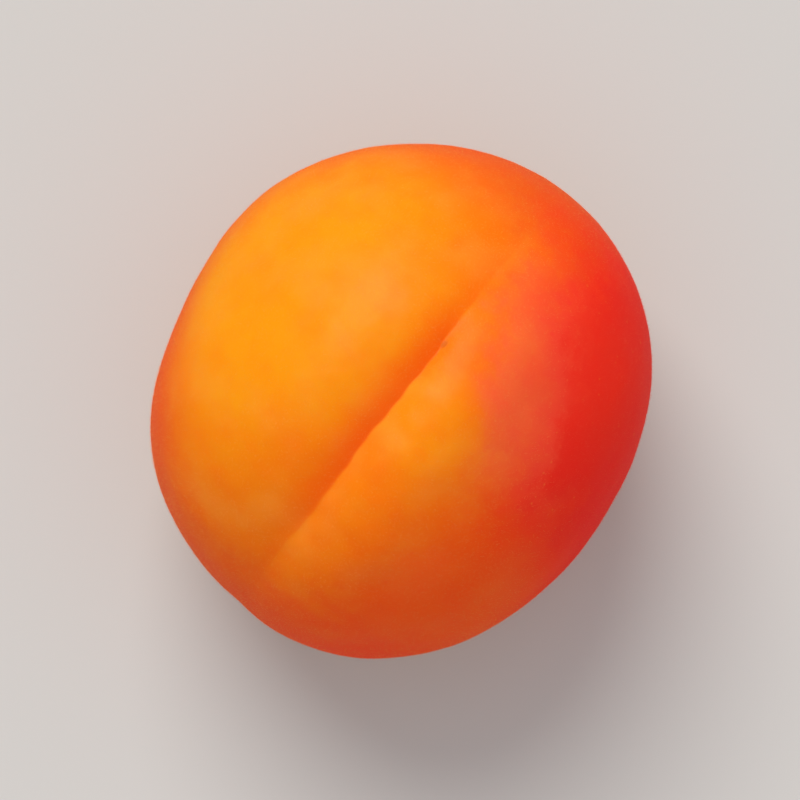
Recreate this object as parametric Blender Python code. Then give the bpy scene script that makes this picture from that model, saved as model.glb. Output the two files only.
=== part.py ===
"""A ripe apricot, picked without its stalk, standing on its stem end.

The fruit is one solid. The suture lies in the YZ plane: it starts at the style
scar near the top, runs over the crown and down the -Y side, and ends in the
stem cavity underneath. The cheeks face -X and +X. The origin is on the surface
that the fruit stands on, under the middle of its box.
"""

import math

import bmesh
import bpy
import numpy as np

# Driving dimensions, in metres. The half widths are measured from the core,
# the point in the middle that every radius below starts from.
LEFT_CHEEK = 0.0245
RIGHT_CHEEK = 0.0247
BACK = 0.0286
FRONT = 0.0264
CROWN = 0.0262
STEM_END = 0.0260
FULLNESS_PLAN = 2.15  # exponent of the outline seen from above; 2 is an ellipse
FULLNESS_CROWN = 2.08
FULLNESS_STEM_END = 2.30  # squarer, towards the shoulders round the cavity

# The suture: how deep the valley is and how far each flank reaches.
SUTURE_DEPTH = 0.0020
SUTURE_DEEPEST = math.radians(6)  # angle in the YZ plane from +Z towards the front
SUTURE_FADE_BACK = math.radians(42)
SUTURE_FADE_FRONT = math.radians(47)
SUTURE_LEFT_FLANK = 0.0046
SUTURE_RIGHT_FLANK = 0.0024
SUTURE_ROOT = 0.00035  # radius that softens the valley's bottom
SUTURE_STEM_DEPTH = 0.0009
SUTURE_STEM_ANGLE = math.radians(166)
SUTURE_STEM_FADE = math.radians(31)
SUTURE_BELLY_DEPTH = 0.00022  # the faint line between the two, down the front
SUTURE_BELLY_ANGLE = math.radians(95)
SUTURE_BELLY_FADE = math.radians(42)
LIP_HEIGHT = 0.0008
LIP_OFFSET = 0.0062
LIP_WIDTH = 0.0045

# The stem cavity and the scar that the stalk left in it.
CAVITY_TILT = math.radians(3)  # from straight down towards the front
CAVITY_DEPTH = 0.0062
CAVITY_WIDTH_SIDE = 0.0060
CAVITY_WIDTH_FRONT = 0.0070
CAVITY_FLARE = 1.7  # exponent of the wall; 2 would be a plain bell
STEM_SCAR_RADIUS = 0.0019
STEM_SCAR_HEIGHT = 0.0005

# The style scar: a small pit with a point in it, on the right lip of the suture.
APEX_TILT = math.radians(18.3)  # from straight up towards the back
STYLE_SCAR_OFFSET = 0.0004
STYLE_SCAR_RADIUS = 0.0009
STYLE_SCAR_DEPTH = 0.00025
STYLE_POINT_RADIUS = 0.0004
STYLE_POINT_HEIGHT = 0.00030

# Swellings and flats: azimuth and elevation in degrees, height in metres and
# angular reach in degrees. The flats are where the fruit grew or lay against others.
SWELLINGS = (
    (118, 4, -0.00072, 22),
    (161, 6, 0.00058, 26),
    (199, 3, -0.00086, 24),
    (246, 4, -0.00075, 26),
    (288, -4, 0.00024, 26),
    (232, 42, 0.00035, 28),
    (22, 34, 0.00030, 32),
    (335, -30, -0.00035, 28),
)

# The shoulders are three low lobes round the cavity, in the same terms. Ripe
# flesh flattens a little where they carry the weight.
SHOULDERS = (
    (90, -64, 0.0004, 17),
    (214, -64, 0.0011, 17),
    (326, -64, 0.0010, 17),
)
REST_FLAT = 0.00030

# Mesh density. The rings crowd towards both ends, the meridians to the suture.
MERIDIANS = 76
RINGS = 46
RING_CROWDING = 0.27
MERIDIAN_CROWDING = 0.30

SKIN_COLOUR = (0.86, 0.22, 0.02, 1.0)
SKIN_ROUGHNESS = 0.5


def clear_scene():
    for obj in list(bpy.data.objects):
        bpy.data.objects.remove(obj, do_unlink=True)


def bell(distance, reach):
    """1 at no distance, falling smoothly to nearly 0 at twice the reach."""
    return np.exp(-((distance / reach) ** 2))


def smooth_step(share):
    """Eases from 0 to 1 with level ends."""
    return share * share * (3 - 2 * share)


def direction(azimuth, elevation):
    """The unit vector at this azimuth about Z and elevation above the horizon, in radians."""
    level = math.cos(elevation)
    return np.array((level * math.cos(azimuth), level * math.sin(azimuth), math.sin(elevation)))


def body_radius(rays):
    """Distance from the core to the smooth body: a superellipsoid with six half axes."""
    x, y, z = rays.T
    half_x = np.where(x > 0, RIGHT_CHEEK, LEFT_CHEEK)
    half_y = np.where(y > 0, BACK, FRONT)
    half_z = np.where(z > 0, CROWN, STEM_END)
    plan = (np.abs(x) / half_x) ** FULLNESS_PLAN + (np.abs(y) / half_y) ** FULLNESS_PLAN
    plan = plan ** (1 / FULLNESS_PLAN)
    fullness = np.where(z > 0, FULLNESS_CROWN, FULLNESS_STEM_END)
    return (plan**fullness + (np.abs(z) / half_z) ** fullness) ** (-1 / fullness)


def swellings(rays):
    """Height that the gentle swellings, flats and shoulders add."""
    added = np.zeros(len(rays))
    for azimuth, elevation, height, reach in SWELLINGS + SHOULDERS:
        middle = direction(math.radians(azimuth), math.radians(elevation))
        angle = np.arccos(np.clip(rays @ middle, -1, 1))
        added += height * bell(angle, math.radians(reach))
    return added


def crown_share(along):
    """1 where the valley is deepest, fading both ways; along is the angle from +Z to the front."""
    fade = np.where(along > SUTURE_DEEPEST, SUTURE_FADE_FRONT, SUTURE_FADE_BACK)
    return bell(along - SUTURE_DEEPEST, fade)


def suture_depth(along):
    """Depth of the valley over the crown, down the belly and into the stem cavity."""
    belly = SUTURE_BELLY_DEPTH * bell(along - SUTURE_BELLY_ANGLE, SUTURE_BELLY_FADE)
    stem = SUTURE_STEM_DEPTH * bell(along - SUTURE_STEM_ANGLE, SUTURE_STEM_FADE)
    return SUTURE_DEPTH * crown_share(along) + belly + stem


def suture(rays, radius):
    """Height that the valley takes away, with the lip that swells beside it."""
    across = rays[:, 0] * radius
    along = np.arctan2(-rays[:, 1], rays[:, 2])
    depth = suture_depth(along)
    flank = np.where(across < 0, SUTURE_LEFT_FLANK, SUTURE_RIGHT_FLANK)
    reach = np.sqrt(across**2 + SUTURE_ROOT**2) - SUTURE_ROOT
    valley = depth * np.exp(-reach / flank)
    lip = LIP_HEIGHT * crown_share(along) * bell(across - LIP_OFFSET, LIP_WIDTH)
    return lip - valley


def stem_cavity(rays, radius):
    """Height that the funnel takes away, with the round scar on its floor."""
    axis = np.array((0, -math.sin(CAVITY_TILT), -math.cos(CAVITY_TILT)))
    front = np.array((0, -math.cos(CAVITY_TILT), math.sin(CAVITY_TILT)))
    side = rays[:, 0] * radius
    ahead = rays @ front * radius
    below = rays @ axis > 0
    reach = np.hypot(side / CAVITY_WIDTH_SIDE, ahead / CAVITY_WIDTH_FRONT)
    funnel = CAVITY_DEPTH * np.exp(-(reach**CAVITY_FLARE))
    scar = STEM_SCAR_HEIGHT * bell(np.hypot(side, ahead), STEM_SCAR_RADIUS)
    return np.where(below, scar - funnel, 0)


def style_scar(rays, radius):
    """The pit and the point that the flower's style left at the apex."""
    along = np.array((0, math.cos(APEX_TILT), -math.sin(APEX_TILT)))
    above = rays[:, 2] > 0
    distance = np.hypot(rays[:, 0] * radius - STYLE_SCAR_OFFSET, rays @ along * radius)
    pit = STYLE_SCAR_DEPTH * bell(distance, STYLE_SCAR_RADIUS)
    point = STYLE_POINT_HEIGHT * bell(distance, STYLE_POINT_RADIUS)
    return np.where(above, point - pit, 0)


def surface_points(rays):
    """Where each unit vector from the core meets the skin."""
    radius = body_radius(rays)
    height = swellings(rays) + suture(rays, radius)
    height += stem_cavity(rays, radius) + style_scar(rays, radius)
    return rays * (radius + height)[:, None]


def crowded(angle, amount):
    """Angles over a half turn, drawn towards 0 and the half turn by this amount."""
    return angle - amount * np.sin(2 * angle)


def bent_rays(mesh_rays):
    """Turns a sphere's poles to the apex and the cavity, and crowds its rings and meridians."""
    x, y, z = mesh_rays.T
    meridian = crowded(np.arctan2(x, -y), MERIDIAN_CROWDING)
    ring = crowded(np.arccos(np.clip(z, -1, 1)), RING_CROWDING)
    x = np.sin(ring) * np.sin(meridian)
    y = -np.sin(ring) * np.cos(meridian)
    z = np.cos(ring)
    share = smooth_step(ring / math.pi)
    tilt = APEX_TILT * (1 - share) + CAVITY_TILT * share
    level = y * np.cos(tilt) + z * np.sin(tilt)
    upright = z * np.cos(tilt) - y * np.sin(tilt)
    return np.stack((x, level, upright), 1)


def rest_on_floor(points):
    """Flattens the lowest points and moves the fruit so that its box stands on the origin."""
    floor = points[:, 2].min() + REST_FLAT
    points[:, 2] = np.maximum(points[:, 2], floor) - floor
    middle = (points.min(0) + points.max(0)) / 2
    points[:, :2] -= middle[:2]
    return points


def skin_material():
    material = bpy.data.materials.new("apricot_skin")
    material.use_nodes = True
    shader = material.node_tree.nodes["Principled BSDF"]
    shader.inputs["Base Color"].default_value = SKIN_COLOUR
    shader.inputs["Roughness"].default_value = SKIN_ROUGHNESS
    shader.inputs["Metallic"].default_value = 0.0
    material.diffuse_color = SKIN_COLOUR
    return material


def make_fruit(collection):
    mesh = bpy.data.meshes.new("apricot")
    cage = bmesh.new()
    bmesh.ops.create_uvsphere(cage, u_segments=MERIDIANS, v_segments=RINGS, radius=1.0)
    rays = np.array([vertex.co for vertex in cage.verts])
    points = rest_on_floor(surface_points(bent_rays(rays)))
    for vertex, point in zip(cage.verts, points):
        vertex.co = point
    bmesh.ops.triangulate(cage, faces=cage.faces, quad_method="SHORT_EDGE")
    bmesh.ops.recalc_face_normals(cage, faces=cage.faces)
    cage.to_mesh(mesh)
    cage.free()
    mesh.shade_smooth()
    mesh.materials.append(skin_material())
    fruit = bpy.data.objects.new("apricot", mesh)
    collection.objects.link(fruit)
    return fruit


def main():
    clear_scene()
    collection = bpy.data.collections.new("apricot")
    bpy.context.scene.collection.children.link(collection)
    make_fruit(collection)


main()
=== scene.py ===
"""The looks of a ripe apricot that stands on its stem end, seen from straight above.

The skin is one fine mesh made by the same rule as the solid that it replaces, with
the finer relief added. Its colours come from the place on the fruit: directions
from the core say where the ground colour turns to blush.
"""

import math

import bmesh
import bpy
import numpy as np
from mathutils import Matrix, Vector, noise


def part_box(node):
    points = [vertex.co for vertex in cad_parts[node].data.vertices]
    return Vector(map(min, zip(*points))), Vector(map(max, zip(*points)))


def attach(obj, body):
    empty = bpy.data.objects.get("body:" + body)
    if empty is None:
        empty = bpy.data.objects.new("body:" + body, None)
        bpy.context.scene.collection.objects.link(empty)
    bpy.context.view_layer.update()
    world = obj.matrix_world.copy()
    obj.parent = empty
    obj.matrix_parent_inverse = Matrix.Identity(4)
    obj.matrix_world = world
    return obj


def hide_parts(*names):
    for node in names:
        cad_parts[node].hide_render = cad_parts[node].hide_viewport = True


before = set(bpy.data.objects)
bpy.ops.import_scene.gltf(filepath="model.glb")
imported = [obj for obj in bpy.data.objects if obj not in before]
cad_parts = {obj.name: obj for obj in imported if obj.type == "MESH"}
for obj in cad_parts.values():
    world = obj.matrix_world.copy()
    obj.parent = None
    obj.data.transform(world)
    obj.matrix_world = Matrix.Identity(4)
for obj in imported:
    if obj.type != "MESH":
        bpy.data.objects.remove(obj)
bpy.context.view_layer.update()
CAD_LOW, CAD_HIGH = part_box("apricot")

# The solid's own dimensions, in metres, with angles in radians.
LEFT_CHEEK = 0.0245
RIGHT_CHEEK = 0.0247
BACK = 0.0286
FRONT = 0.0264
CROWN = 0.0262
STEM_END = 0.0260
FULLNESS_PLAN = 2.15
FULLNESS_CROWN = 2.08
FULLNESS_STEM_END = 2.30

SUTURE_DEPTH = 0.0020
SUTURE_DEEPEST = math.radians(6)
SUTURE_FADE_BACK = math.radians(42)
SUTURE_FADE_FRONT = math.radians(47)
SUTURE_LEFT_FLANK = 0.0046
SUTURE_RIGHT_FLANK = 0.0024
SUTURE_STEM_DEPTH = 0.0009
SUTURE_STEM_ANGLE = math.radians(166)
SUTURE_STEM_FADE = math.radians(31)
SUTURE_BELLY_DEPTH = 0.00022
SUTURE_BELLY_ANGLE = math.radians(95)
SUTURE_BELLY_FADE = math.radians(42)
LIP_HEIGHT = 0.0008
LIP_OFFSET = 0.0062
LIP_WIDTH = 0.0045

CAVITY_TILT = math.radians(3)
STEM_AXIS = np.array((0, -math.sin(CAVITY_TILT), -math.cos(CAVITY_TILT)))
CAVITY_DEPTH = 0.0062
CAVITY_WIDTH_SIDE = 0.0060
CAVITY_WIDTH_FRONT = 0.0070
CAVITY_FLARE = 1.7

APEX_TILT = math.radians(18.3)
STYLE_SCAR_OFFSET = 0.0004

# Swellings, flats and shoulders: azimuth and elevation in degrees, height in
# metres and angular reach in degrees.
SWELLINGS = (
    (118, 4, -0.00072, 22),
    (161, 6, 0.00058, 26),
    (199, 3, -0.00086, 24),
    (246, 4, -0.00075, 26),
    (288, -4, 0.00024, 26),
    (232, 42, 0.00035, 28),
    (22, 34, 0.00030, 32),
    (335, -30, -0.00035, 28),
    (90, -64, 0.0004, 17),
    (214, -64, 0.0011, 17),
    (326, -64, 0.0010, 17),
)
REST_FLAT = 0.00030

# The finer relief of the skin, in metres.
FINE_MERIDIANS = 380
FINE_RINGS = 230
RING_CROWDING = 0.20
MERIDIAN_CROWDING = 0.34
SUTURE_ROOT = 0.00014  # radius of the valley's bottom between the style scar and the front
SUTURE_SOFT_ROOT = 0.0013  # and beyond them
SUTURE_SOFTENS = (math.radians(12), math.radians(62))  # between these angles at the front

# Waves that bend the suture sideways: height, whole waves round the fruit, phase.
SUTURE_WAVES = (
    (0.00020, 1, -1.9),
    (0.00011, 9, 0.0),
    (0.00006, 22, 4.0),
    (0.00005, 53, 1.0),
)

ROLL_HEIGHT = 0.00012
ROLL_SCALE = 0.0085
DIMPLE_HEIGHT = 0.000042
DIMPLE_SCALE = 0.0026
NOISE_SHIFT = np.array((3.7, -1.9, 5.3))  # from the noise of one seed to the next

STYLE_PIT_RADIUS = 0.00060
STYLE_PIT_DEPTH = 0.00012
STYLE_POINT_RADIUS = 0.00026
STYLE_POINT_HEIGHT = 0.00009
STYLE_LENGTH = 1.7  # times its width, along the suture

STEM_SCAR_RADIUS = 0.0021
STEM_SCAR_LEVEL = 0.4  # share of the radius over which it is level
STEM_SCAR_HEIGHT = 0.0006
STEM_SCAR_RIM = 0.00028
STEM_SCAR_RIM_WIDTH = STEM_SCAR_RADIUS / 4
WRINKLES = 17
WRINKLE_HEIGHT = 0.00007
WRINKLE_REACH = 0.0026
WRINKLE_UNEVENNESS = 2.2
WRINKLE_UNEVENNESS_SCALE = 0.6  # on a sphere of radius 1

# The down: short fine hairs all over the skin, each a spike of three sides.
DOWN_SEEDS = (1, 2, 3)  # one mesh of hairs for each
DOWN_HAIRS = 46000  # in each mesh
DOWN_LENGTH = (0.00020, 0.00040)
DOWN_RADIUS = 0.000007
DOWN_SIDES = 3
DOWN_ROOT = 0.00004  # how deep a root is sunk in the skin
DOWN_LEAN = (0.6, 1.25)  # from the skin's normal, in radians
DOWN_PARTING = 0.7  # how far the hairs' directions differ
DOWN_LOWEST = 0.0006  # no hair starts below this height
DOWN_OFF_SCAR = 1.3  # nor nearer the stem's axis than this many times the stem scar's radius
DOWN_BLUSH = (30, 8)  # azimuth and elevation of the middle of the blushed cheek
DOWN_BLUSH_EDGE = (0.52, 0.78)  # the hairs turn red between these cosines from it
SMALL_TURN = 0.002  # in radians, to find the skin's slope
ASKEW = (0.36, 0.48, 0.80)  # a direction along no axis, to find one across a ray

# One hair's faces. Its corner 0 is the tip, and the others are round the root.
HAIR_FACES = np.array(((0, 1, 2), (0, 2, 3), (0, 3, 1), (1, 3, 2)))

# The camera looks straight down. Its right and up directions say how the fruit
# lies in the photograph: the suture runs from lower left to upper right.
SUTURE_BEARING = math.radians(52)  # of +Y, anticlockwise from the picture's right
VIEW_CENTRE = (0.00028, -0.00033)
VIEW_WIDTH = 0.0832
OUTLINE_HEIGHT = 0.026
CAMERA_DISTANCE = 0.60
SENSOR_WIDTH = 36.0

FLOOR_REACH = 20.0  # from its middle to each side
FLOOR_COLOUR = (0.64, 0.63, 0.61, 1)
FLOOR_ROUGHNESS = 0.9
KEY_DIRECTION = (145, 50)  # azimuth and elevation, in degrees
KEY_STRENGTH = 1.92
KEY_SPREAD = 0.62
KEY_COLOUR = (1.0, 0.97, 0.93)
SKY_COLOUR = (0.97, 0.98, 1.0, 1)
SKY_STRENGTH = 0.57


def bell(distance, reach):
    """1 at no distance, falling smoothly to nearly 0 at twice the reach."""
    return np.exp(-((distance / reach) ** 2))


def smooth_step(share):
    """Eases from 0 to 1 with level ends."""
    share = np.clip(share, 0, 1)
    return share * share * (3 - 2 * share)


def direction(azimuth, elevation):
    """The unit vector at this azimuth about Z and elevation above the horizon, in degrees."""
    azimuth = math.radians(azimuth)
    elevation = math.radians(elevation)
    level = math.cos(elevation)
    return np.array((level * math.cos(azimuth), level * math.sin(azimuth), math.sin(elevation)))


def noise_at(points, scale, octaves, seed):
    """Smooth noise between about -1 and 1, with features of this size."""
    shift = Vector(seed * NOISE_SHIFT)
    values = [noise.fractal(Vector(point) / scale + shift, 1.0, 2.0, octaves) for point in points]
    return np.array(values)


def body_radius(rays):
    """Distance from the core to the smooth body: a superellipsoid with six half axes."""
    x, y, z = rays.T
    half_x = np.where(x > 0, RIGHT_CHEEK, LEFT_CHEEK)
    half_y = np.where(y > 0, BACK, FRONT)
    half_z = np.where(z > 0, CROWN, STEM_END)
    plan = (np.abs(x) / half_x) ** FULLNESS_PLAN + (np.abs(y) / half_y) ** FULLNESS_PLAN
    plan = plan ** (1 / FULLNESS_PLAN)
    fullness = np.where(z > 0, FULLNESS_CROWN, FULLNESS_STEM_END)
    return (plan**fullness + (np.abs(z) / half_z) ** fullness) ** (-1 / fullness)


def swellings(rays):
    """Height that the gentle swellings, flats and shoulders add."""
    added = np.zeros(len(rays))
    for azimuth, elevation, height, reach in SWELLINGS:
        angle = np.arccos(np.clip(rays @ direction(azimuth, elevation), -1, 1))
        added += height * bell(angle, math.radians(reach))
    return added


def crown_share(along):
    """1 where the valley is deepest, fading both ways; along is the angle from +Z to the front."""
    fade = np.where(along > SUTURE_DEEPEST, SUTURE_FADE_FRONT, SUTURE_FADE_BACK)
    return bell(along - SUTURE_DEEPEST, fade)


def suture_depth(along):
    """Depth of the valley over the crown, down the belly and into the stem cavity."""
    belly = SUTURE_BELLY_DEPTH * bell(along - SUTURE_BELLY_ANGLE, SUTURE_BELLY_FADE)
    stem = SUTURE_STEM_DEPTH * bell(along - SUTURE_STEM_ANGLE, SUTURE_STEM_FADE)
    return SUTURE_DEPTH * crown_share(along) + belly + stem


def suture(rays, radius):
    """Height that the valley takes away, with the lip that swells beside it."""
    along = np.arctan2(-rays[:, 1], rays[:, 2])
    across = rays[:, 0] * radius
    for height, waves, phase in SUTURE_WAVES:
        across = across + height * np.sin(waves * along + phase)
    depth = suture_depth(along)
    flank = np.where(across < 0, SUTURE_LEFT_FLANK, SUTURE_RIGHT_FLANK)
    behind = smooth_step((-along - APEX_TILT) / APEX_TILT)
    start, end = SUTURE_SOFTENS
    ahead = smooth_step((along - start) / (end - start))
    root = SUTURE_ROOT + (SUTURE_SOFT_ROOT - SUTURE_ROOT) * np.maximum(behind, ahead)
    reach = np.sqrt(across**2 + root**2) - root
    valley = depth * np.exp(-reach / flank)
    lip = LIP_HEIGHT * crown_share(along) * bell(across - LIP_OFFSET, LIP_WIDTH)
    return lip - valley


def stem_cavity(rays, radius, uneven):
    """Height that the funnel takes away, with its wrinkles and the scar on its floor."""
    front = np.array((0, -math.cos(CAVITY_TILT), math.sin(CAVITY_TILT)))
    side = rays[:, 0] * radius
    ahead = rays @ front * radius
    distance = np.hypot(side, ahead)
    reach = np.hypot(side / CAVITY_WIDTH_SIDE, ahead / CAVITY_WIDTH_FRONT)
    funnel = CAVITY_DEPTH * np.exp(-(reach**CAVITY_FLARE))
    scar = STEM_SCAR_HEIGHT * (1 - smooth_step(distance / STEM_SCAR_RADIUS - STEM_SCAR_LEVEL))
    scar += STEM_SCAR_RIM * bell(distance - STEM_SCAR_RADIUS, STEM_SCAR_RIM_WIDTH)
    around = np.arctan2(side, ahead)
    wrinkles = np.cos(WRINKLES * around + uneven) * WRINKLE_HEIGHT
    wrinkles *= bell(distance - STEM_SCAR_RADIUS, WRINKLE_REACH)
    wrinkles *= smooth_step(distance / STEM_SCAR_RADIUS)
    return np.where(rays @ STEM_AXIS > 0, scar + wrinkles - funnel, 0)


def style_scar(rays, radius):
    """The pit and the point that the flower's style left at the apex."""
    along = np.array((0, math.cos(APEX_TILT), -math.sin(APEX_TILT)))
    ahead = rays @ along * radius / STYLE_LENGTH
    distance = np.hypot(rays[:, 0] * radius - STYLE_SCAR_OFFSET, ahead)
    pit = STYLE_PIT_DEPTH * bell(distance, STYLE_PIT_RADIUS)
    point = STYLE_POINT_HEIGHT * bell(distance, STYLE_POINT_RADIUS)
    return np.where(rays[:, 2] > 0, point - pit, 0)


def fine_points(rays):
    """The form with the slow rolls and small dimples of a ripe skin."""
    points = rays * body_radius(rays)[:, None]
    relief = ROLL_HEIGHT * noise_at(points, ROLL_SCALE, octaves=2, seed=2)
    relief += DIMPLE_HEIGHT * noise_at(points, DIMPLE_SCALE, octaves=3, seed=3)
    uneven = WRINKLE_UNEVENNESS * noise_at(rays, WRINKLE_UNEVENNESS_SCALE, octaves=2, seed=4)
    return form_points(rays, uneven, relief)


def crowded(angle, amount):
    """Angles over a half turn, drawn towards 0 and the half turn by this amount."""
    return angle - amount * np.sin(2 * angle)


def bent_rays(mesh_rays):
    """Turns a sphere's poles to the apex and the cavity, and crowds its rings and meridians."""
    x, y, z = mesh_rays.T
    meridian = crowded(np.arctan2(x, -y), MERIDIAN_CROWDING)
    ring = crowded(np.arccos(np.clip(z, -1, 1)), RING_CROWDING)
    x = np.sin(ring) * np.sin(meridian)
    y = -np.sin(ring) * np.cos(meridian)
    z = np.cos(ring)
    share = smooth_step(ring / math.pi)
    tilt = APEX_TILT * (1 - share) + CAVITY_TILT * share
    level = y * np.cos(tilt) + z * np.sin(tilt)
    upright = z * np.cos(tilt) - y * np.sin(tilt)
    return np.stack((x, level, upright), 1)


def form_points(rays, uneven=0.0, relief=0.0):
    """Where each ray from the core meets the skin."""
    radius = body_radius(rays)
    height = swellings(rays) + suture(rays, radius) + stem_cavity(rays, radius, uneven)
    height += style_scar(rays, radius) + relief
    return rays * (radius + height)[:, None]


def unit_rows(vectors):
    """Each row's vector, at length 1."""
    return vectors / np.linalg.norm(vectors, axis=1, keepdims=True)


def skin_normals(rays):
    """The outward normal where each ray meets the skin, from two points close by."""
    sideways = unit_rows(np.cross(rays, ASKEW))
    upward = np.cross(rays, sideways)
    points = form_points(rays)
    first = form_points(unit_rows(rays + sideways * SMALL_TURN)) - points
    second = form_points(unit_rows(rays + upward * SMALL_TURN)) - points
    return unit_rows(np.cross(first, second))


def find_core(points):
    """Where the core lies so that these points stand on the floor in the solid's place."""
    middle = (points.min(0) + points.max(0)) / 2
    cad_middle = np.array((CAD_LOW + CAD_HIGH) / 2)
    floor = points[:, 2].min() + REST_FLAT
    return np.array((cad_middle[0] - middle[0], cad_middle[1] - middle[1], -floor))


class Graph:
    """Builds a material's nodes with short calls, each of which returns the socket that it makes."""

    def __init__(self, material):
        material.use_nodes = True
        self.tree = material.node_tree
        self.tree.nodes.clear()

    def node(self, kind, **settings):
        made = self.tree.nodes.new(kind)
        for name, value in settings.items():
            setattr(made, name, value)
        return made

    def feed(self, socket, value):
        """Links a socket to another, or sets it to a number, a vector or a colour."""
        if isinstance(value, bpy.types.NodeSocket):
            self.tree.links.new(value, socket)
        else:
            socket.default_value = value

    def math(self, operation, first, second=0.0, third=0.0, clamp=False):
        made = self.node("ShaderNodeMath", operation=operation, use_clamp=clamp)
        for socket, value in zip(made.inputs, (first, second, third)):
            self.feed(socket, value)
        return made.outputs[0]

    def times(self, first, second):
        return self.math("MULTIPLY", first, second)

    def less(self, value):
        """What is left of 1."""
        return self.math("SUBTRACT", 1.0, value)

    def vector(self, operation, first, second=(0, 0, 0)):
        made = self.node("ShaderNodeVectorMath", operation=operation)
        self.feed(made.inputs[0], first)
        self.feed(made.inputs[1], second)
        return made.outputs["Value" if operation in ("DOT_PRODUCT", "LENGTH") else "Vector"]

    def scaled(self, vector, amount):
        made = self.node("ShaderNodeVectorMath", operation="SCALE")
        self.feed(made.inputs[0], vector)
        made.inputs["Scale"].default_value = amount
        return made.outputs[0]

    def step(self, value, low, high):
        """0 below low and 1 above high, with a smooth ramp between them."""
        made = self.node("ShaderNodeMapRange", interpolation_type="SMOOTHSTEP")
        self.feed(made.inputs["Value"], value)
        self.feed(made.inputs["From Min"], low)
        self.feed(made.inputs["From Max"], high)
        return made.outputs["Result"]

    def shifted(self, where, shift):
        return self.vector("ADD", where, shift) if shift else where

    def noise(self, where, scale, detail, roughness, shift=None):
        """Noise about 0, between about -0.5 and 0.5."""
        made = self.node("ShaderNodeTexNoise")
        self.feed(made.inputs["Vector"], self.shifted(where, shift))
        made.inputs["Scale"].default_value = scale
        made.inputs["Detail"].default_value = detail
        made.inputs["Roughness"].default_value = roughness
        return self.math("SUBTRACT", made.outputs["Fac"], 0.5)

    def dots(self, where, spacing, radius, presence, shift=None):
        """Round dots, 1 inside, in the cells of a scatter; presence is the share of cells with one.

        Their radii are between a half and one and a half times the one given.
        """
        made = self.node("ShaderNodeTexVoronoi", feature="F1")
        self.feed(made.inputs["Vector"], self.shifted(where, shift))
        made.inputs["Scale"].default_value = 1 / spacing
        apart = self.node("ShaderNodeSeparateColor")
        self.feed(apart.inputs[0], made.outputs["Color"])
        size = self.math("MULTIPLY_ADD", apart.outputs[1], radius / spacing, 0.5 * radius / spacing)
        inside = self.math("DIVIDE", made.outputs["Distance"], size)
        inside = self.less(self.step(inside, *DOT_EDGE))
        kept = self.math("LESS_THAN", apart.outputs[0], presence)
        return self.times(inside, kept)

    def mix(self, share, first, second):
        """From the first colour to the second by this share."""
        made = self.node("ShaderNodeMix", data_type="RGBA")
        self.feed(made.inputs["Factor"], share)
        self.feed(made.inputs["A"], first)
        self.feed(made.inputs["B"], second)
        for socket in made.outputs:
            if socket.type == "RGBA":
                return socket

    def tint(self, under, colour, where, strength):
        """Lays a colour over another with this strength, where the first share says."""
        return self.mix(self.times(where, strength), under, colour)

    def cover(self, first, second):
        """How much is covered by either of two shares."""
        return self.less(self.times(self.less(first), self.less(second)))

    def finish(self, shader):
        """Makes this shader the material's surface."""
        out = self.node("ShaderNodeOutputMaterial")
        self.feed(out.inputs["Surface"], shader.outputs[0])


# The materials work in millimetres.
PER_METRE = 1000.0

# Noise patterns on the skin: scale in cycles a millimetre, detail, roughness and, for
# some, a shift in millimetres that keeps one pattern from following another.
CLOUDS = (0.13, 3.0, 0.55)
MOTTLE = (0.55, 4.0, 0.6, (31.0, 7.0, 12.0))
GRAIN = (2.6, 3.0, 0.6)
DRIFT = (0.05, 1.0, 0.5)
BLOTCHES = (0.24, 2.0, 0.5, (11.0, 23.0, 5.0))
# Pale patches of painted sheen.
SHEEN_PATCHES = (0.17, 2.0, 0.45, (3.0, 17.0, 29.0))
PORES = (4.5, 2.0, 0.5)

# Scattered dots: spacing and radius in millimetres, share of places with one, shift.
FRECKLES = (1.3, 0.20, 0.55)
PALE_DOTS = (1.1, 0.13, 0.5, (5.0, 9.0, 3.0))
DOT_EDGE = (0.55, 1.0)  # a dot fades out between these shares of its radius

# How much the noise moves the edges of the colours.
CLOUD_WOBBLE = 0.20
MOTTLE_WOBBLE = 0.09
GRAIN_WOBBLE = 0.05
CROWN_WOBBLE = 0.2  # share of it round the small yellow cap on the crown

# Colours of the skin, linear.
# The pale peach is a painted sheen.
PEACH_SHEEN = (0.95, 0.345, 0.042, 1)
# The coral is a painted pink sheen.
CORAL_SHEEN = (0.98, 0.130, 0.100, 1)
YELLOW = (0.93, 0.310, 0.002, 1)
ORANGE = (0.95, 0.186, 0.002, 1)
DEEP_ORANGE = (0.88, 0.072, 0.002, 1)
RED = (0.97, 0.012, 0.005, 1)
DEEP_RED = (0.84, 0.006, 0.007, 1)
# Partly the crease's own deeper orange, partly painted shade in its hollow.
CREASE_PIGMENT_AND_SHADE = (0.95, 0.105, 0.001, 1)
PALE_DOT = (0.95, 0.40, 0.06, 1)
DOWN_COLOURS = ((0.96, 0.46, 0.12, 1), (0.96, 0.15, 0.06, 1))  # and on the blushed cheek
STEM_GREEN = (0.87, 0.450, 0.030, 1)
CORK = (0.12, 0.050, 0.018, 1)
PALE_CORK = (0.36, 0.200, 0.095, 1)
STYLE_BROWN = (0.70, 0.120, 0.004, 1)

# Where the colours lie: azimuth and elevation of a cap's middle in degrees, the
# cosines where it starts and where it is full, and its strength there.
YELLOW_CAPS = ((170, 48, 0.62, 1.04, 1.0),)
CROWN_CAPS = ((14, 81, 0.972, 0.999, 0.60),)
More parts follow.
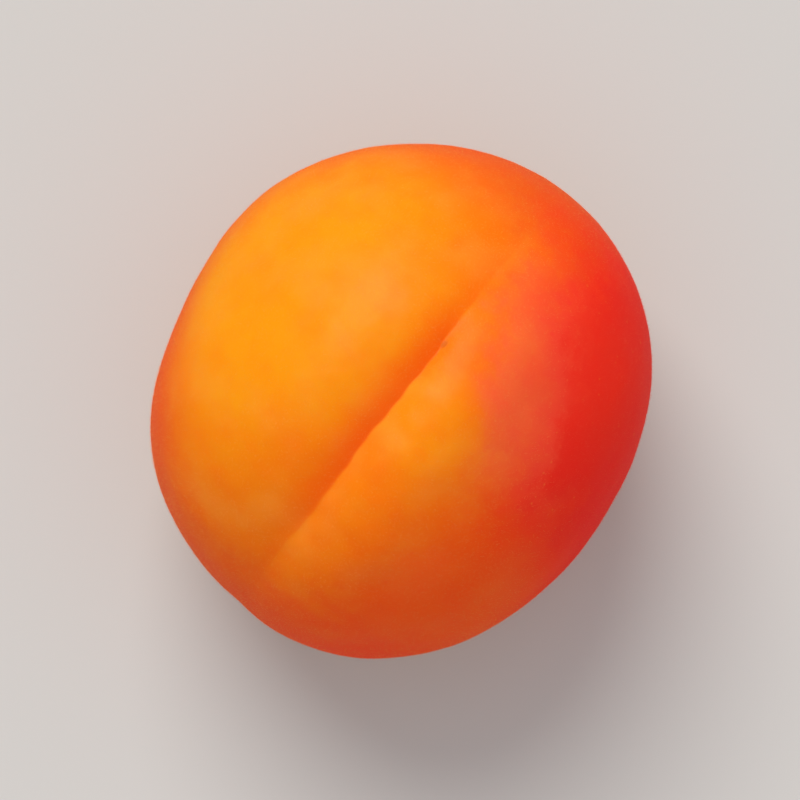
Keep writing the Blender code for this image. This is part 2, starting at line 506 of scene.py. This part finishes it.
# These caps are partly the skin's deeper orange and partly painted shade that darkens the rim at the
# front, the back and the lower left.
DEEP_ORANGE_AND_SHADE_CAPS = (
    (274, 0, 0.63, 1.02, 0.98),
    (86, -2, 0.60, 0.98, 0.85),
    (222, -4, 0.66, 0.97, 0.90),
)
BLUSHES = (
    (36, 22, 0.54, 0.93, 0.95),
    (338, 14, 0.46, 0.84, 0.60),
    (18, -16, 0.56, 0.96, 0.75),
)

# Below, a pair of numbers is a ramp: where a share is 0 and where it is 1. Ramps over
# height use the cosine from straight up, and those over x, y and z use millimetres
# from the core. A strength is the most that a colour covers.
YELLOW_STRENGTH = 0.85
YELLOW_EVERYWHERE = 0.12
YELLOW_CLOUDS = 0.45
YELLOW_BLOTCHES = 0.7
# Ramp and strength of the pale patches of painted sheen.
SHEEN_PATCH_RAMP = (-0.10, 0.26)
SHEEN_PATCH_STRENGTH = 0.28
# The deeper orange down the sides is partly painted shade round the rim.
SIDES_FROM_TOP = (0.50, 0.0)
SIDES_FROM_BELOW = (-0.80, -0.20)
SIDES_DRIFT = 0.6
SIDES_AND_SHADE_STRENGTH = 0.55

DEEP_RED_RAMP = (0.86, 1.0)  # over the blush's share
DEEP_RED_STRENGTH = 0.35
BORDER_RAMP = (0.10, 0.45)  # over the blush's share
FRECKLE_BLUSH = 0.08
# A painted pink sheen on the blush's border, towards the upper back.
CORAL_HEIGHT = (0.45, 0.95)
CORAL_Y = (-4.0, 6.0)
CORAL_SHEEN_STRENGTH = 0.28

# The crease's colour is partly pigment and partly painted shade in its hollow.
CREASE_LEFT = (-5.2, -0.3)
CREASE_RIGHT = (0.22, -0.18)
CREASE_LEFT_FALL = 1.4  # power of the left ramp
CREASE_Z = (6.0, 18.0)
CREASE_STRENGTH = 0.28
CREASE_CROWN_Z = (12.0, 23.0)
CREASE_CROWN_BACK_Y = (17.0, 5.0)
CREASE_CROWN_FRONT_Y = (-22.0, -6.0)
CREASE_CROWN_STRENGTH = 0.55  # added on the crown

PALE_DOT_STRENGTH = 0.05
PALE_DOT_BLUSH = 0.12  # added where it is red

STEM_GREEN_Z = (-9.0, -25.0)
STEM_GREEN_DRIFT = 16.0  # millimetres by which the noise moves that ramp
STEM_GREEN_CLOUDS = 6.0
STEM_GREEN_STRENGTH = 0.5
STEM_FRECKLE_STRENGTH = 0.3
CORK_EDGE = (2.7, 2.1)  # over the distance from the stem's axis
CORK_EDGE_GRAIN = 0.8
CORK_Z = (0.0, -5.0)
CORK_GRAIN = (-0.14, 0.16)
STYLE_EDGE = (0.38, 0.12)  # over the distance from the style scar
STYLE_Z = (0.0, 5.0)
STYLE_STRENGTH = 0.75

ROUGHNESS = 0.34
MOTTLE_ROUGHNESS = 0.10
CORK_ROUGHNESS = 0.45
RELIEF_MOTTLE = 1.2  # times the height of the pores
RELIEF_DOTS = -0.5
RELIEF_STRENGTH = 0.5
RELIEF_DISTANCE = 0.00003  # metres
SKIN_SHADER = {
    "Specular IOR Level": 0.0,
    "Coat Weight": 0.16,
    "Coat Roughness": 0.33,
    "Subsurface Weight": 0.22,
    "Subsurface Radius": (1.0, 0.32, 0.10),
    "Subsurface Scale": 0.0030,
    "Sheen Weight": 0.02,
    "Sheen Roughness": 0.35,
    "Sheen Tint": (1.0, 0.80, 0.66, 1),
}
DOWN_ROUGHNESS = 0.5
PLAIN_SPECULAR = 0.2  # of the down and of the floor


class Places:
    """Where a point of the skin lies, and the noise and dots there, for all its colours."""

    def __init__(self, graph, core):
        coordinates = graph.node("ShaderNodeTexCoord").outputs["Object"]
        self.point = graph.scaled(graph.vector("SUBTRACT", coordinates, tuple(core)), PER_METRE)
        self.unit = graph.vector("NORMALIZE", self.point)
        apart = graph.node("ShaderNodeSeparateXYZ")
        graph.feed(apart.inputs[0], self.point)
        self.x, self.y, self.z = apart.outputs

        self.clouds = graph.noise(self.point, *CLOUDS)
        self.mottle = graph.noise(self.point, *MOTTLE)
        self.grain = graph.noise(self.point, *GRAIN)
        self.drift = graph.noise(self.point, *DRIFT)
        wobble = graph.times(self.mottle, MOTTLE_WOBBLE)
        wobble = graph.math("MULTIPLY_ADD", self.clouds, CLOUD_WOBBLE, wobble)
        self.wobble = graph.math("MULTIPLY_ADD", self.grain, GRAIN_WOBBLE, wobble)
        self.height = graph.vector("DOT_PRODUCT", self.unit, (0, 0, 1))
        self.height = graph.math("ADD", self.height, self.wobble)
        self.freckles = graph.dots(self.point, *FRECKLES)
        self.pale_dots = graph.dots(self.point, *PALE_DOTS)


def caps(graph, unit, wobble, rows):
    """How far a place is covered by the caps in these rows, which have uneven edges."""
    covered = 0.0
    for azimuth, elevation, low, high, strength in rows:
        toward = graph.vector("DOT_PRODUCT", unit, tuple(direction(azimuth, elevation)))
        inside = graph.step(graph.math("ADD", toward, wobble), low, high)
        covered = graph.cover(covered, graph.times(inside, strength))
    return covered


def ground_colour(graph, at):
    """Yellow and orange in soft patches with pale patches of painted sheen, and deeper orange down the
    sides that is partly painted shade at the rim.
    """
    slight = graph.times(at.wobble, CROWN_WOBBLE)
    yellow = caps(graph, at.unit, at.wobble, YELLOW_CAPS)
    yellow = graph.cover(yellow, caps(graph, at.unit, slight, CROWN_CAPS))
    yellow = graph.math("MULTIPLY_ADD", yellow, YELLOW_STRENGTH, YELLOW_EVERYWHERE)
    yellow = graph.math("MULTIPLY_ADD", at.clouds, YELLOW_CLOUDS, yellow)
    blotches = graph.noise(at.point, *BLOTCHES)
    yellow = graph.math("MULTIPLY_ADD", blotches, YELLOW_BLOTCHES, yellow, clamp=True)
    skin = graph.mix(yellow, ORANGE, YELLOW)
    # Pale peach patches of painted sheen.
    painted_sheen = graph.step(graph.noise(at.point, *SHEEN_PATCHES), *SHEEN_PATCH_RAMP)
    skin = graph.tint(skin, PEACH_SHEEN, painted_sheen, SHEEN_PATCH_STRENGTH)
    # Deeper orange round the sides, partly painted shade at the rim.
    lower = graph.math("MULTIPLY_ADD", at.drift, SIDES_DRIFT, at.height)
    sides = graph.times(graph.step(at.height, *SIDES_FROM_TOP), graph.step(lower, *SIDES_FROM_BELOW))
    deeper = graph.times(sides, SIDES_AND_SHADE_STRENGTH)
    deeper = graph.cover(deeper, caps(graph, at.unit, at.wobble, DEEP_ORANGE_AND_SHADE_CAPS))
    return graph.mix(deeper, skin, DEEP_ORANGE)


def with_blush(graph, at, skin):
    """The red cheek over the skin, freckled at its border and with a painted pink sheen there, and how
    red each place is.
    """
    blush = caps(graph, at.unit, at.wobble, BLUSHES)
    deep = graph.step(blush, *DEEP_RED_RAMP)
    border = graph.times(graph.step(blush, *BORDER_RAMP), graph.less(deep))
    freckles = graph.times(at.freckles, border)
    blush = graph.math("MULTIPLY_ADD", freckles, FRECKLE_BLUSH, blush, clamp=True)
    red = graph.tint(RED, DEEP_RED, deep, DEEP_RED_STRENGTH)
    skin = graph.mix(blush, skin, red)
    # A painted pink sheen on the blush's border, towards the upper back.
    upper_back = graph.times(graph.step(at.height, *CORAL_HEIGHT), graph.step(at.y, *CORAL_Y))
    return graph.tint(skin, CORAL_SHEEN, graph.times(border, upper_back), CORAL_SHEEN_STRENGTH), blush


def with_crease(graph, at, skin):
    """Deeper colour far out on the crease's left flank and close in on its right, most on the crown:
    partly the skin's own deeper orange, partly painted shade in the valley.
    """
    along = graph.math("ARCTAN2", graph.times(at.y, -1.0), at.z)
    across = at.x
    for wave_height, waves, phase in SUTURE_WAVES:
        wave = graph.math("SINE", graph.math("MULTIPLY_ADD", along, waves, phase))
        across = graph.math("MULTIPLY_ADD", wave, wave_height * PER_METRE, across)
    left = graph.math("POWER", graph.step(across, *CREASE_LEFT), CREASE_LEFT_FALL)
    crease_tone_and_shade = graph.times(left, graph.step(across, *CREASE_RIGHT))
    crown = graph.times(graph.step(at.z, *CREASE_CROWN_Z), graph.step(at.y, *CREASE_CROWN_BACK_Y))
    crown = graph.times(crown, graph.step(at.y, *CREASE_CROWN_FRONT_Y))
    strength = graph.times(graph.step(at.z, *CREASE_Z), CREASE_STRENGTH)
    strength = graph.math("MULTIPLY_ADD", crown, CREASE_CROWN_STRENGTH, strength)
    # Painted shade in the crease, mixed with its deeper pigment.
    return graph.tint(skin, CREASE_PIGMENT_AND_SHADE, crease_tone_and_shade, strength)


def with_pale_dots(graph, at, skin, blush):
    """Small pale dots over the skin, clearest where it is red."""
    strength = graph.math("MULTIPLY_ADD", blush, PALE_DOT_BLUSH, PALE_DOT_STRENGTH)
    return graph.tint(skin, PALE_DOT, at.pale_dots, strength)


def with_stem_green(graph, at, skin):
    """A slightly greener skin with freckles towards the stem."""
    level = graph.math("MULTIPLY_ADD", at.clouds, STEM_GREEN_CLOUDS, at.z)
    level = graph.math("MULTIPLY_ADD", at.drift, STEM_GREEN_DRIFT, level)
    low = graph.step(level, *STEM_GREEN_Z)
    skin = graph.tint(skin, STEM_GREEN, low, STEM_GREEN_STRENGTH)
    return graph.tint(skin, DEEP_ORANGE, graph.times(at.freckles, low), STEM_FRECKLE_STRENGTH)


def cork_share(graph, at):
    """1 on the cork of the stem scar, which has an uneven edge."""
    off_axis = graph.vector("LENGTH", graph.vector("CROSS_PRODUCT", at.point, tuple(STEM_AXIS)))
    off_axis = graph.math("MULTIPLY_ADD", at.grain, CORK_EDGE_GRAIN, off_axis)
    return graph.times(graph.step(off_axis, *CORK_EDGE), graph.step(at.z, *CORK_Z))


def style_share(graph, at):
    """1 on the style scar."""
    style = direction(90, 90 - math.degrees(APEX_TILT))
    spot = graph.vector("SUBTRACT", at.point, (STYLE_SCAR_OFFSET * PER_METRE, 0, 0))
    spot = graph.vector("CROSS_PRODUCT", spot, tuple(style))
    spot = graph.vector("MULTIPLY", spot, (1 / STYLE_LENGTH, 1, 1))
    off_style = graph.vector("LENGTH", spot)
    return graph.times(graph.step(off_style, *STYLE_EDGE), graph.step(at.z, *STYLE_Z))


def skin_normal(graph, at):
    """The finest relief: pores, mottling and sunken dots."""
    relief = graph.math("MULTIPLY_ADD", at.mottle, RELIEF_MOTTLE, graph.noise(at.point, *PORES))
    relief = graph.math("MULTIPLY_ADD", at.pale_dots, RELIEF_DOTS, relief)
    bump = graph.node("ShaderNodeBump")
    graph.feed(bump.inputs["Height"], relief)
    bump.inputs["Strength"].default_value = RELIEF_STRENGTH
    bump.inputs["Distance"].default_value = RELIEF_DISTANCE
    return bump.outputs["Normal"]


def skin_material(core):
    """A satin skin with all its colours, cork on the stem scar and brown on the style scar."""
    material = bpy.data.materials.new("apricot_skin")
    graph = Graph(material)
    at = Places(graph, core)
    skin = ground_colour(graph, at)
    skin, blush = with_blush(graph, at, skin)
    skin = with_crease(graph, at, skin)
    skin = with_pale_dots(graph, at, skin, blush)
    skin = with_stem_green(graph, at, skin)
    corky = cork_share(graph, at)
    skin = graph.mix(corky, skin, graph.mix(graph.step(at.grain, *CORK_GRAIN), CORK, PALE_CORK))
    skin = graph.tint(skin, STYLE_BROWN, style_share(graph, at), STYLE_STRENGTH)

    shader = graph.node("ShaderNodeBsdfPrincipled", subsurface_method="RANDOM_WALK")
    for name, value in SKIN_SHADER.items():
        shader.inputs[name].default_value = value
    rough = graph.math("MULTIPLY_ADD", at.mottle, MOTTLE_ROUGHNESS, ROUGHNESS)
    rough = graph.math("MULTIPLY_ADD", corky, CORK_ROUGHNESS, rough, clamp=True)
    graph.feed(shader.inputs["Base Color"], skin)
    graph.feed(shader.inputs["Roughness"], rough)
    graph.feed(shader.inputs["Normal"], skin_normal(graph, at))
    graph.finish(shader)
    return material


def make_skin():
    """The whole skin as one closed mesh, and the place of the core inside it."""
    cage = bmesh.new()
    bmesh.ops.create_uvsphere(cage, u_segments=FINE_MERIDIANS, v_segments=FINE_RINGS, radius=1.0)
    rays = bent_rays(np.array([vertex.co for vertex in cage.verts]))
    core = find_core(form_points(rays))
    points = fine_points(rays) + core
    points[:, 2] = np.maximum(points[:, 2], 0)
    for vertex, point in zip(cage.verts, points):
        vertex.co = point
    mesh = bpy.data.meshes.new("apricot_skin")
    cage.to_mesh(mesh)
    cage.free()
    mesh.shade_smooth()
    skin = bpy.data.objects.new("apricot_skin", mesh)
    bpy.context.scene.collection.objects.link(skin)
    return skin, core


def down_roots(core, draw):
    """The rays, roots and normals of a scatter of hairs, off the stem scar and clear of the floor."""
    rays = unit_rows(draw.normal(size=(DOWN_HAIRS, 3)))
    roots = fine_points(rays) + core
    normals = skin_normals(rays)
    off_stem = np.linalg.norm(np.cross(roots - core, STEM_AXIS), axis=1)
    on_scar = (off_stem < DOWN_OFF_SCAR * STEM_SCAR_RADIUS) & (rays[:, 2] < 0)
    kept = (roots[:, 2] > DOWN_LOWEST) & ~on_scar
    return rays[kept], roots[kept], normals[kept]


def hair_corners(roots, normals, draw):
    """The corners of hairs that lean towards the crown: each one's tip, then those round its root."""
    count = len(roots)
    combed = np.array((0, math.sin(APEX_TILT), math.cos(APEX_TILT)))
    combed = combed + DOWN_PARTING * draw.normal(size=(count, 3))
    flat = unit_rows(combed - (combed * normals).sum(1, keepdims=True) * normals)
    lean = draw.uniform(*DOWN_LEAN, size=(count, 1))
    along = normals * np.cos(lean) + flat * np.sin(lean)
    length = draw.uniform(*DOWN_LENGTH, size=(count, 1))
    sideways = np.cross(along, normals)
    upward = np.cross(along, sideways)
    foot = roots - normals * DOWN_ROOT
    corners = [foot + along * (length + DOWN_ROOT)]
    for side in range(DOWN_SIDES):
        turn = 2 * math.pi * side / DOWN_SIDES
        corners.append(foot + DOWN_RADIUS * (math.cos(turn) * sideways + math.sin(turn) * upward))
    return np.stack(corners, 1).reshape(-1, 3)


def make_down(core, materials, seed):
    """One mesh of hairs over the skin, in the second material on the blushed cheek."""
    draw = np.random.default_rng(seed)
    rays, roots, normals = down_roots(core, draw)
    count = len(roots)
    red = rays @ direction(*DOWN_BLUSH) > draw.uniform(*DOWN_BLUSH_EDGE, size=count)
    corners = hair_corners(roots, normals, draw)
    tips = (DOWN_SIDES + 1) * np.arange(count)
    faces = (tips[:, None, None] + HAIR_FACES).reshape(-1, 3)

    name = "apricot_down_" + str(seed)
    mesh = bpy.data.meshes.new(name)
    mesh.from_pydata(corners.tolist(), [], faces.tolist())
    for material in materials:
        mesh.materials.append(material)
    mesh.polygons.foreach_set("material_index", np.repeat(red, len(HAIR_FACES)).astype(np.int32))
    down = bpy.data.objects.new(name, mesh)
    bpy.context.scene.collection.objects.link(down)
    return down


def plain_material(name, colour, roughness):
    material = bpy.data.materials.new(name)
    graph = Graph(material)
    shader = graph.node("ShaderNodeBsdfPrincipled")
    shader.inputs["Base Color"].default_value = colour
    shader.inputs["Roughness"].default_value = roughness
    shader.inputs["Specular IOR Level"].default_value = PLAIN_SPECULAR
    graph.finish(shader)
    return material


def make_floor():
    mesh = bpy.data.meshes.new("floor")
    plane = bmesh.new()
    bmesh.ops.create_grid(plane, x_segments=1, y_segments=1, size=FLOOR_REACH)
    plane.to_mesh(mesh)
    plane.free()
    floor = bpy.data.objects.new("floor", mesh)
    bpy.context.scene.collection.objects.link(floor)
    mesh.materials.append(plain_material("floor", FLOOR_COLOUR, FLOOR_ROUGHNESS))


def make_key():
    """One broad soft light, the same over the whole floor."""
    lamp = bpy.data.lights.new("key", "SUN")
    lamp.energy = KEY_STRENGTH
    lamp.angle = KEY_SPREAD
    lamp.color = KEY_COLOUR
    light = bpy.data.objects.new("key", lamp)
    toward = Vector(direction(*KEY_DIRECTION))
    light.rotation_euler = toward.to_track_quat("Z", "Y").to_euler()
    bpy.context.scene.collection.objects.link(light)


def make_world():
    world = bpy.data.worlds.new("studio")
    bpy.context.scene.world = world
    world.use_nodes = True
    sky = world.node_tree.nodes["Background"]
    sky.inputs["Color"].default_value = SKY_COLOUR
    sky.inputs["Strength"].default_value = SKY_STRENGTH


def make_camera():
    camera_data = bpy.data.cameras.new("camera")
    camera_data.sensor_width = SENSOR_WIDTH
    camera_data.lens = SENSOR_WIDTH * CAMERA_DISTANCE / VIEW_WIDTH
    camera = bpy.data.objects.new("camera", camera_data)
    turn = SUTURE_BEARING - math.pi / 2
    right = Vector((math.cos(turn), -math.sin(turn), 0))
    up = Vector((math.sin(turn), math.cos(turn), 0))
    facing = Matrix((right, up, right.cross(up))).transposed().to_4x4()
    place = Vector((*VIEW_CENTRE, OUTLINE_HEIGHT + CAMERA_DISTANCE))
    camera.matrix_world = Matrix.Translation(place) @ facing
    bpy.context.scene.collection.objects.link(camera)
    bpy.context.scene.camera = camera


make_camera()
skin, core = make_skin()
skin.data.materials.append(skin_material(core))
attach(skin, "root")
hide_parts("apricot")

down_materials = [plain_material("apricot_down", colour, DOWN_ROUGHNESS) for colour in DOWN_COLOURS]
for seed in DOWN_SEEDS:
    down = make_down(core, down_materials, seed)
    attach(down, "root")

make_floor()
make_world()
make_key()
bpy.context.scene.view_settings.view_transform = "Standard"
